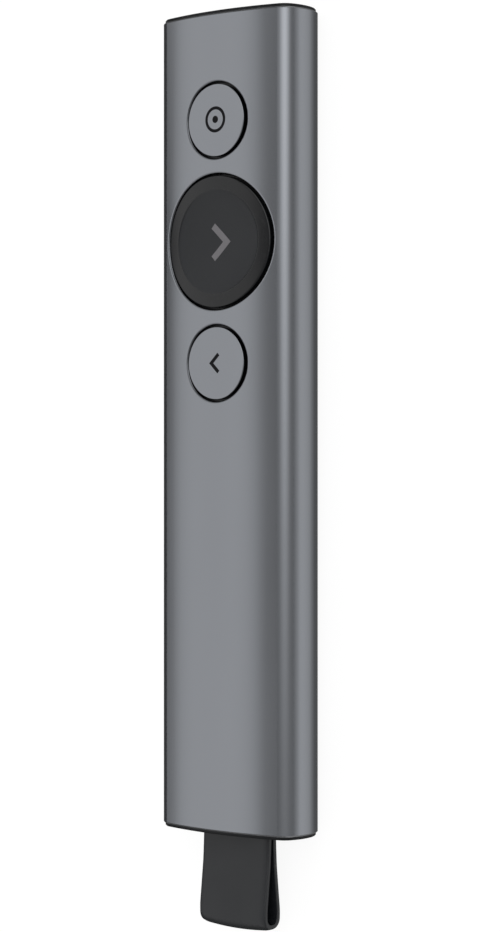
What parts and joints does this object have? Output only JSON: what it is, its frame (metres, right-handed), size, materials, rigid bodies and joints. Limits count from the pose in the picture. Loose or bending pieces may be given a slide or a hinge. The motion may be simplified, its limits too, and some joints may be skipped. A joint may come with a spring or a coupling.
{
  "type": "presentation clicker",
  "caption": "Slim handheld wireless presentation clicker: crowned metal body, round press buttons down the face, and a plug-in receiver drawn out of the end by its rubber strap.",
  "frame": {"origin": "under the middle of the whole object, on the surface it lies on, back down", "axes": "+X across the width, +Y along the body away from the strap, +Z out of the face with the buttons"},
  "size_m": [0.028, 0.147, 0.0122],
  "materials": {
    "anodised_aluminium": "satin bead-blasted anodised",
    "cap_plastic": "fine matt",
    "inner_plastic": "matt moulded",
    "button_plastic": "matt moulded",
    "button_rubber": "smooth matt",
    "strap_rubber": "smooth matt",
    "receiver_plastic": "fine matt",
    "plug_steel": "bright nickel plated",
    "tongue_plastic": "moulded",
    "contact_gilt": "gold plated",
    "board_laminate": "solder mask",
    "chip_epoxy": "moulded epoxy",
    "can_steel": "plated",
    "antenna_ceramic": "glazed",
    "passive_ceramic": "sintered with tinned ends",
    "pouch_foil": "laminated foil",
    "foam": "adhesive foam",
    "lead_red": "insulation",
    "lead_black": "insulation",
    "weight_alloy": "sintered",
    "switch_housing": "moulded",
    "switch_stem": "moulded",
    "spring_steel": "stamped",
    "screw_steel": "blackened",
    "lamp_body": "moulded",
    "light_guide": "clear moulded"
  },
  "bodies": {
    "housing": {"back_switch_case": "switch_housing", "back_switch_dome": "spring_steel", "battery_cell": "pouch_foil", "battery_foam": "foam", "battery_lead_black": "lead_black", "battery_lead_red": "lead_red", "board_passives": "passive_ceramic", "board_screws": "screw_steel", "bottom_end_cap": "cap_plastic", "button_guide": "inner_plastic", "charger_chip": "chip_epoxy", "chassis": "inner_plastic", "chip_antenna": "antenna_ceramic", "crystal": "can_steel", "dock_springs": "spring_steel", "guide_screws": "screw_steel", "housing_sleeve": "anodised_aluminium", "light_guide": "light_guide", "main_board": "board_laminate", "motion_sensor": "chip_epoxy", "motor_case": "can_steel", "motor_foam": "foam", "motor_shaft": "can_steel", "next_switch_case": "switch_housing", "next_switch_dome": "spring_steel", "pointer_switch_case": "switch_housing", "pointer_switch_dome": "spring_steel", "port_shell": "plug_steel", "port_tongue": "tongue_plastic", "radio_chip": "chip_epoxy", "receiver_dock": "inner_plastic", "status_lamp": "lamp_body", "top_end_cap": "cap_plastic"},
    "receiver": {"receiver_upper": "receiver_plastic", "receiver_lower": "receiver_plastic", "receiver_board": "board_laminate", "receiver_chip": "chip_epoxy", "plug_shell": "plug_steel", "plug_tongue": "tongue_plastic", "plug_contacts": "contact_gilt", "strap_anchor": "can_steel", "strap": "strap_rubber"},
    "pointer_button": {"pointer_top": "anodised_aluminium", "pointer_carrier": "button_plastic", "pointer_switch_stem": "switch_stem"},
    "next_button": {"next_top": "button_rubber", "next_carrier": "button_plastic", "next_switch_stem": "switch_stem"},
    "back_button": {"back_top": "anodised_aluminium", "back_carrier": "button_plastic", "back_switch_stem": "switch_stem"},
    "rotor": {"motor_rotor": "weight_alloy"}
  },
  "joints": [
    {"name": "receiver_slide", "type": "slide", "parent": "housing", "child": "receiver", "axis": [0, -1, 0], "range_m": [0, 0.03]},
    {"name": "pointer_press", "type": "slide", "parent": "housing", "child": "pointer_button", "axis": [0, 0, -1], "range_m": [0, 0.0003], "stiffness_N_per_m": 2500, "springref_m": -0.0002, "deforming": ["pointer_switch_dome"]},
    {"name": "next_press", "type": "slide", "parent": "housing", "child": "next_button", "axis": [0, 0, -1], "range_m": [0, 0.0004], "stiffness_N_per_m": 2500, "springref_m": -0.0002, "deforming": ["next_switch_dome"]},
    {"name": "back_press", "type": "slide", "parent": "housing", "child": "back_button", "axis": [0, 0, -1], "range_m": [0, 0.0003], "stiffness_N_per_m": 2500, "springref_m": -0.0002, "deforming": ["back_switch_dome"]},
    {"name": "motor_spin", "type": "hinge", "parent": "housing", "child": "rotor", "pos_m": [0, 0.0649, 0.00425], "axis": [0, 0, 1], "continuous": true}
  ]
}
